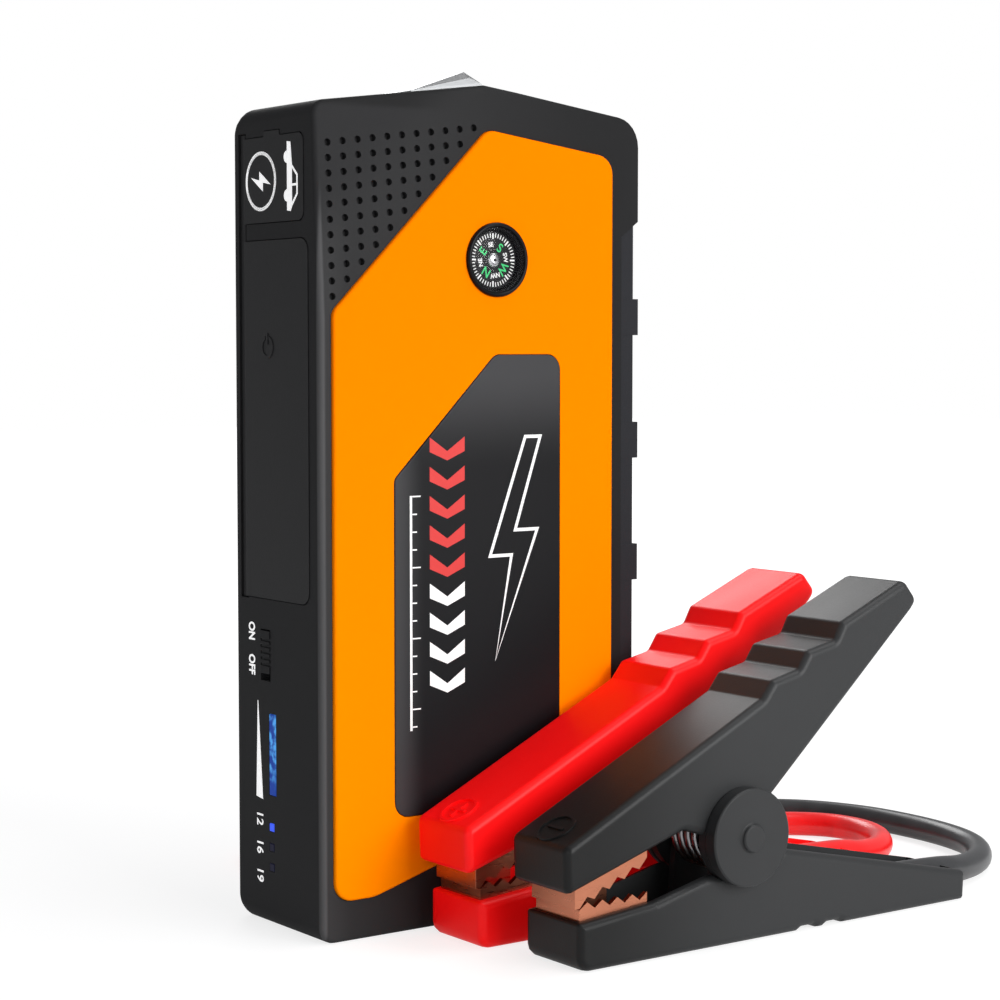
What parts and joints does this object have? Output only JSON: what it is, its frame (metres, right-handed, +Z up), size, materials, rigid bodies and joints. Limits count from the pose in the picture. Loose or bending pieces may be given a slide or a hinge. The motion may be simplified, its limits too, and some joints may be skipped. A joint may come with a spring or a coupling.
{
  "type": "jump starter pack",
  "caption": "Upright jump starter pack with compass, rubber port covers and window breaker, beside red and black sprung battery clamps on short leads.",
  "frame": {"origin": "on the pack's flat base, midway between its sides and 18 mm behind its front face, on the surface it stands on", "axes": "+Z up; the pack's front panel faces -Y and its port side faces -X, so +X is towards the rubber flank grip; the clamps lie in front of the pack with their tips towards -X"},
  "size_m": [0.1936, 0.1589, 0.1961],
  "materials": {
    "case_plastic": "fine satin grain, charcoal",
    "screw_steel": "zinc-plated",
    "grip_rubber": "soft, faintly blue black",
    "panel_orange": "satin orange",
    "badge_gloss": "piano black with a printed pattern",
    "compass_black": "gloss black",
    "compass_dial": "black dial card with white printing",
    "compass_glass": "clear domed acrylic",
    "breaker_steel": "ground facets",
    "cover_rubber": "soft matt black",
    "switch_plastic": "satin dark grey",
    "switch_metal": "tinned can",
    "gauge_blue": "clear blue light guide",
    "board_green": "solder mask green",
    "cell_foil": "laminate foil",
    "pad_foam": "grey foam",
    "link_nickel": "nickel strip",
    "socket_blue": "moulded blue nylon",
    "contact_gold": "gold-plated brass",
    "usb_steel": "nickel-plated shell",
    "jack_black": "moulded black nylon",
    "lead_red_skin": "silicone lead, red",
    "lead_black_skin": "silicone lead, black",
    "clamp_red": "satin moulded red",
    "clamp_black": "satin moulded dark grey",
    "jaw_copper": "copper-plated steel, brushed",
    "spring_steel": "zinc-plated wire"
  },
  "bodies": {
    "pack": {"case_shell": "case_plastic", "rear_cover": "case_plastic", "case_screw_1": "screw_steel", "case_screw_2": "screw_steel", "case_screw_3": "screw_steel", "case_screw_4": "screw_steel", "side_grip": "grip_rubber", "front_panel": "panel_orange", "badge_plate": "badge_gloss", "compass_cup": "compass_black", "compass_lens": "compass_glass", "window_breaker": "breaker_steel", "hinge_strip": "cover_rubber", "switch_body": "switch_metal", "gauge_light": "gauge_blue", "voltage_lights": "gauge_blue", "main_board": "board_green", "board_screw_1": "screw_steel", "board_screw_2": "screw_steel", "battery_cell_1": "cell_foil", "battery_cell_2": "cell_foil", "battery_cell_3": "cell_foil", "cell_pad_front": "pad_foam", "cell_pad_back": "pad_foam", "cell_link_plus": "link_nickel", "cell_link_minus": "link_nickel", "engine_socket": "socket_blue", "engine_contact_plus": "contact_gold", "engine_contact_minus": "contact_gold", "usb_socket_upper": "usb_steel", "usb_socket_lower": "usb_steel", "output_jack": "jack_black", "input_jack": "jack_black", "feed_wire_red": "lead_red_skin", "feed_wire_black": "lead_black_skin"},
    "compass_needle": {"compass_card": "compass_dial"},
    "engine_flap_body": {"engine_flap": "cover_rubber"},
    "port_cover_body": {"port_cover": "cover_rubber"},
    "slide_knob": {"switch_knob": "switch_plastic"},
    "push_button": {"power_button": "switch_plastic"},
    "lead_set": {"red_lower_grip": "clamp_red", "red_lower_jaw": "jaw_copper", "red_pivot_pin": "clamp_red", "red_pivot_cap": "clamp_red", "red_spring": "spring_steel", "red_lead": "lead_red_skin", "black_lower_grip": "clamp_black", "black_lower_jaw": "jaw_copper", "black_pivot_pin": "clamp_black", "black_pivot_cap": "clamp_black", "black_spring": "spring_steel", "black_lead": "lead_black_skin", "lead_plug": "socket_blue", "plug_pin_red": "contact_gold", "plug_pin_black": "contact_gold"},
    "red_arm": {"red_upper_grip": "clamp_red", "red_upper_jaw": "jaw_copper"},
    "black_arm": {"black_upper_grip": "clamp_black", "black_upper_jaw": "jaw_copper"}
  },
  "joints": [
    {"name": "compass_turn", "type": "hinge", "parent": "pack", "child": "compass_needle", "pos_m": [0.0018, -0.0175, 0.1521], "axis": [0, 1, 0], "continuous": true},
    {"name": "engine_flap_fold", "type": "hinge", "parent": "pack", "child": "engine_flap_body", "pos_m": [-0.0445, 0.0139, 0.16965], "axis": [0, 0, -1], "range_deg": [0, 110]},
    {"name": "port_cover_fold", "type": "hinge", "parent": "pack", "child": "port_cover_body", "pos_m": [-0.0445, 0.0139, 0.1157], "axis": [0, 0, -1], "range_deg": [0, 110]},
    {"name": "switch_slide", "type": "slide", "parent": "pack", "child": "slide_knob", "axis": [0, 0, -1], "range_m": [0, 0.0015]},
    {"name": "button_press", "type": "slide", "parent": "pack", "child": "push_button", "axis": [1, 0, 0], "range_m": [0, 0.0008], "stiffness_N_per_m": 1500, "springref_m": -0.0002},
    {"name": "lead_set_lift", "type": "slide", "parent": "pack", "child": "lead_set", "axis": [0, 0, 1], "range_m": [0, 0.15]},
    {"name": "red_clamp_open", "type": "hinge", "parent": "lead_set", "child": "red_arm", "pos_m": [0.0261, -0.032, 0.0243], "axis": [0, 1, 0], "range_deg": [0, 30], "stiffness_Nm_per_rad": 2, "springref_deg": -28.65, "deforming": ["red_spring"]},
    {"name": "black_clamp_open", "type": "hinge", "parent": "lead_set", "child": "black_arm", "pos_m": [0.0315, -0.0605, 0.0243], "axis": [0, 1, 0], "range_deg": [0, 30], "stiffness_Nm_per_rad": 2, "springref_deg": -28.65, "deforming": ["black_spring"]}
  ]
}
